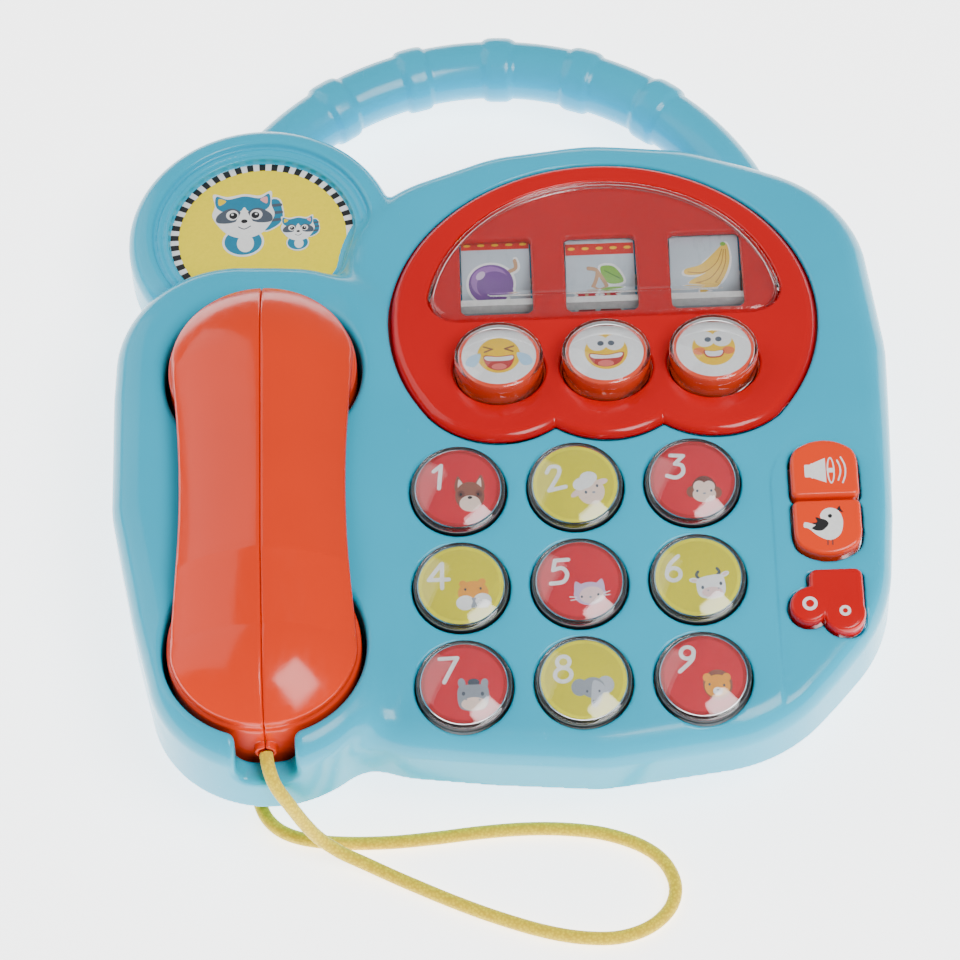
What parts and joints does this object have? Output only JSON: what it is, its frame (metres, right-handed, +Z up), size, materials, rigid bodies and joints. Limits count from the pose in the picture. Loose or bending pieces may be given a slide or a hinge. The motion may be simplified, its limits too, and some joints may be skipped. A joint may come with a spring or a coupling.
{
  "type": "toy desk telephone",
  "caption": "Toy desk telephone lying on its back, with a corded handset, number keys, picture reels turned by push buttons, mode keys and a carry handle.",
  "frame": {"origin": "centre of the footprint without the cord, on the flat back that lies on the table", "axes": "+Z up out of the keypad side, +X to the right of the keypad, +Y towards the carry handle"},
  "size_m": [0.2435, 0.332, 0.068],
  "materials": {
    "shell_blue": "glossy",
    "display_red": "glossy",
    "clear_cover": "glossy",
    "handset_orange": "glossy",
    "button_orange": "glossy",
    "key_red": "glossy",
    "key_green": "glossy",
    "car_red": "glossy",
    "label_print": "satin",
    "reel_print": "satin",
    "frame_white": "matte",
    "board_green": "satin",
    "parts_black": "satin",
    "dome_rubber": "matte",
    "screw_steel": "satin",
    "speaker_grey": "satin",
    "cell_jacket": "satin",
    "wire_red": "matte",
    "cord_yellow": "matte"
  },
  "bodies": {
    "base": {"front_shell": "shell_blue", "rear_shell": "shell_blue", "carry_handle": "shell_blue", "ear_label": "label_print", "display_panel": "display_red", "display_window": "clear_cover", "reel_frame": "frame_white", "reel_axle": "screw_steel", "frame_screws": "screw_steel", "key_membrane": "dome_rubber", "main_board": "board_green", "board_parts": "parts_black", "board_screws": "screw_steel", "power_switch": "parts_black", "speaker_frame": "speaker_grey", "speaker_cone": "parts_black", "battery_contacts": "screw_steel", "batteries": "cell_jacket", "wires": "wire_red", "housing_screws": "screw_steel", "cord": "cord_yellow", "base_knot": "cord_yellow"},
    "handset": {"handset_left": "handset_orange", "handset_right": "handset_orange", "earpiece_cap": "handset_orange", "mouthpiece_cap": "handset_orange", "handset_knot": "cord_yellow"},
    "number_key_1": {"key_1_cap": "clear_cover", "key_1_body": "key_red"},
    "number_key_2": {"key_2_cap": "clear_cover", "key_2_body": "key_green"},
    "number_key_3": {"key_3_cap": "clear_cover", "key_3_body": "key_red"},
    "number_key_4": {"key_4_cap": "clear_cover", "key_4_body": "key_green"},
    "number_key_5": {"key_5_cap": "clear_cover", "key_5_body": "key_red"},
    "number_key_6": {"key_6_cap": "clear_cover", "key_6_body": "key_green"},
    "number_key_7": {"key_7_cap": "clear_cover", "key_7_body": "key_red"},
    "number_key_8": {"key_8_cap": "clear_cover", "key_8_body": "key_green"},
    "number_key_9": {"key_9_cap": "clear_cover", "key_9_body": "key_red"},
    "spin_button_1": {"spin_1_cap": "clear_cover", "spin_1_body": "button_orange"},
    "reel_drum_1": {"reel_1": "reel_print"},
    "spin_button_2": {"spin_2_cap": "clear_cover", "spin_2_body": "button_orange"},
    "reel_drum_2": {"reel_2": "reel_print"},
    "spin_button_3": {"spin_3_cap": "clear_cover", "spin_3_body": "button_orange"},
    "reel_drum_3": {"reel_3": "reel_print"},
    "sound_button": {"sound_key": "button_orange"},
    "bird_button": {"bird_key": "button_orange"},
    "car_button": {"car_key": "car_red"},
    "power_slider": {"power_knob": "parts_black"},
    "door": {"battery_door": "shell_blue", "battery_door_screw": "screw_steel"}
  },
  "joints": [
    {"name": "handset_lift", "type": "slide", "parent": "base", "child": "handset", "axis": [0, 0, 1], "range_m": [0, 0.045]},
    {"name": "key_1_press", "type": "slide", "parent": "base", "child": "number_key_1", "axis": [0, 0.1219, -0.9925], "range_m": [0, 0.002], "stiffness_N_per_m": 600, "springref_m": -0.0006},
    {"name": "key_2_press", "type": "slide", "parent": "base", "child": "number_key_2", "axis": [0, 0.1219, -0.9925], "range_m": [0, 0.002], "stiffness_N_per_m": 600, "springref_m": -0.0006},
    {"name": "key_3_press", "type": "slide", "parent": "base", "child": "number_key_3", "axis": [0, 0.1219, -0.9925], "range_m": [0, 0.002], "stiffness_N_per_m": 600, "springref_m": -0.0006},
    {"name": "key_4_press", "type": "slide", "parent": "base", "child": "number_key_4", "axis": [0, 0.1219, -0.9925], "range_m": [0, 0.002], "stiffness_N_per_m": 600, "springref_m": -0.0006},
    {"name": "key_5_press", "type": "slide", "parent": "base", "child": "number_key_5", "axis": [0, 0.1219, -0.9925], "range_m": [0, 0.002], "stiffness_N_per_m": 600, "springref_m": -0.0006},
    {"name": "key_6_press", "type": "slide", "parent": "base", "child": "number_key_6", "axis": [0, 0.1219, -0.9925], "range_m": [0, 0.002], "stiffness_N_per_m": 600, "springref_m": -0.0006},
    {"name": "key_7_press", "type": "slide", "parent": "base", "child": "number_key_7", "axis": [0, 0.1219, -0.9925], "range_m": [0, 0.002], "stiffness_N_per_m": 600, "springref_m": -0.0006},
    {"name": "key_8_press", "type": "slide", "parent": "base", "child": "number_key_8", "axis": [0, 0.1219, -0.9925], "range_m": [0, 0.002], "stiffness_N_per_m": 600, "springref_m": -0.0006},
    {"name": "key_9_press", "type": "slide", "parent": "base", "child": "number_key_9", "axis": [0, 0.1219, -0.9925], "range_m": [0, 0.002], "stiffness_N_per_m": 600, "springref_m": -0.0006},
    {"name": "spin_1_press", "type": "slide", "parent": "base", "child": "spin_button_1", "axis": [0, -0.1219, -0.9925], "range_m": [0, 0.0039], "stiffness_N_per_m": 450, "springref_m": -0.0012},
    {"name": "reel_1_turn", "type": "hinge", "parent": "base", "child": "reel_drum_1", "pos_m": [-0.0004, 0.04239, 0.0224], "axis": [1, 0, 0], "range_deg": [0, 90]},
    {"name": "spin_2_press", "type": "slide", "parent": "base", "child": "spin_button_2", "axis": [0, -0.1219, -0.9925], "range_m": [0, 0.0039], "stiffness_N_per_m": 450, "springref_m": -0.0012},
    {"name": "reel_2_turn", "type": "hinge", "parent": "base", "child": "reel_drum_2", "pos_m": [0.0331, 0.04239, 0.0224], "axis": [1, 0, 0], "range_deg": [0, 90]},
    {"name": "spin_3_press", "type": "slide", "parent": "base", "child": "spin_button_3", "axis": [0, -0.1219, -0.9925], "range_m": [0, 0.0039], "stiffness_N_per_m": 450, "springref_m": -0.0012},
    {"name": "reel_3_turn", "type": "hinge", "parent": "base", "child": "reel_drum_3", "pos_m": [0.0666, 0.04239, 0.0224], "axis": [1, 0, 0], "range_deg": [0, 90]},
    {"name": "sound_press", "type": "slide", "parent": "base", "child": "sound_button", "axis": [0, 0.1219, -0.9925], "range_m": [0, 0.0015], "stiffness_N_per_m": 600, "springref_m": -0.0006},
    {"name": "bird_press", "type": "slide", "parent": "base", "child": "bird_button", "axis": [0, 0.1219, -0.9925], "range_m": [0, 0.0015], "stiffness_N_per_m": 600, "springref_m": -0.0006},
    {"name": "car_press", "type": "slide", "parent": "base", "child": "car_button", "axis": [0, 0.1219, -0.9925], "range_m": [0, 0.0015], "stiffness_N_per_m": 600, "springref_m": -0.0006},
    {"name": "power_slide", "type": "slide", "parent": "base", "child": "power_slider", "axis": [1, 0, 0], "range_m": [0, 0.006]},
    {"name": "battery_door_off", "type": "slide", "parent": "base", "child": "door", "axis": [0, 0, -1], "range_m": [0, 0.03]}
  ],
  "couplings": [
    {"joint": "reel_1_turn", "follows": "spin_1_press", "rad_per_m": 400},
    {"joint": "reel_2_turn", "follows": "spin_2_press", "rad_per_m": 400},
    {"joint": "reel_3_turn", "follows": "spin_3_press", "rad_per_m": 400}
  ]
}
